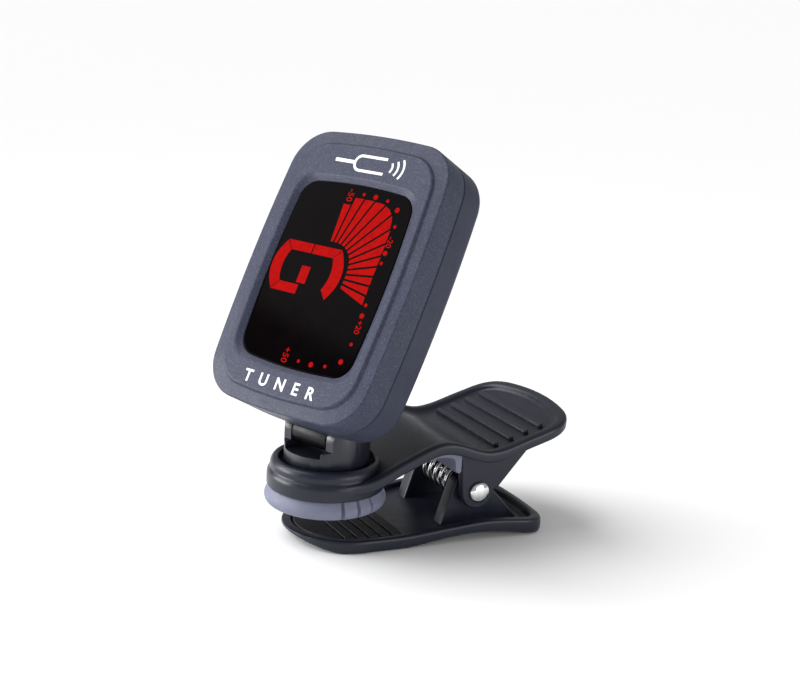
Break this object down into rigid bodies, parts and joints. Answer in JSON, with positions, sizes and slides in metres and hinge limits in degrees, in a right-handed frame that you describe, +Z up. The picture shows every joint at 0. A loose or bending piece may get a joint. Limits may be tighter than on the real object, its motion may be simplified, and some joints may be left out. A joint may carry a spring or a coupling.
{
  "type": "clip-on tuner",
  "caption": "Spring clip with a swivelling, tilting rounded-rectangle display head; the head folds back over the finger levers.",
  "frame": {"origin": "point where the swivel axis meets the plane that the clip rests on, on the underside of the lower jaw", "axes": "+Z up along the swivel axis, -Y towards the jaws' front, +Y towards the finger levers, +X to the side with the pivot pin's domed head"},
  "size_m": [0.0481, 0.0696, 0.078],
  "materials": {
    "jaw_plastic": "satin black-blue moulded ABS",
    "pad_rubber_dark": "matt",
    "pin_chrome": "polished",
    "retainer_steel": "plain",
    "spring_steel": "bright wire",
    "pad_rubber": "matt lavender grey",
    "washer_nylon": "plain",
    "turret_plastic": "satin",
    "screw_steel": "zinc plated",
    "shell_paint": "satin slate blue with a fine sparkle",
    "shell_plastic": "fine texture",
    "knuckle_plastic": "gloss black",
    "lens_plastic": "gloss, dark tinted",
    "lcd_glass": "dark negative display",
    "diffuser": "red diffuser",
    "zebra_rubber": "matt",
    "board_green": "solder resist",
    "chip_epoxy": "epoxy",
    "switch_plastic": "plain",
    "cell_steel": "plain",
    "contact_nickel": "nickel plated",
    "piezo_brass": "plain"
  },
  "bodies": {
    "lower_jaw": {"lower_jaw": "jaw_plastic", "lower_jaw_pad": "pad_rubber_dark", "pivot_pin": "pin_chrome", "pivot_retainer": "retainer_steel", "torsion_spring": "spring_steel"},
    "upper_jaw": {"upper_jaw": "jaw_plastic", "upper_jaw_pad": "pad_rubber", "lever_liner": "pad_rubber", "swivel_washer": "washer_nylon"},
    "swivel": {"turret": "turret_plastic", "spring_washer": "retainer_steel", "swivel_screw": "screw_steel", "tilt_pin": "retainer_steel", "tilt_washers": "washer_nylon"},
    "head": {"front_shell": "shell_paint", "rear_shell": "shell_plastic", "head_knuckle": "knuckle_plastic", "shell_screws": "screw_steel", "display_lens": "lens_plastic", "lcd_panel": "lcd_glass", "backlight": "diffuser", "zebra_strip": "zebra_rubber", "circuit_board": "board_green", "tuner_chip": "chip_epoxy", "tilt_switch": "switch_plastic", "battery_cell": "cell_steel", "contact_negative": "contact_nickel", "contact_positive": "contact_nickel", "piezo_disc": "piezo_brass"},
    "battery_door": {"battery_door": "shell_plastic"}
  },
  "joints": [
    {"name": "jaw_hinge", "type": "hinge", "parent": "lower_jaw", "child": "upper_jaw", "pos_m": [0, 0.028, 0.0096], "axis": [-1, 0, 0], "range_deg": [0, 32], "stiffness_Nm_per_rad": 0.5, "springref_deg": -28.65, "deforming": ["torsion_spring"]},
    {"name": "head_swivel", "type": "hinge", "parent": "upper_jaw", "child": "swivel", "pos_m": [0, 0, 0.0143], "axis": [0, 0, 1], "continuous": true},
    {"name": "head_tilt", "type": "hinge", "parent": "swivel", "child": "head", "pos_m": [0.00111, -0.00268, 0.0215], "axis": [-0.9232, -0.3843, 0], "range_deg": [-18, 55]},
    {"name": "battery_door_slide", "type": "slide", "parent": "head", "child": "battery_door", "axis": [-0.1857, 0.4462, 0.8755], "range_m": [0, 0.04]}
  ]
}
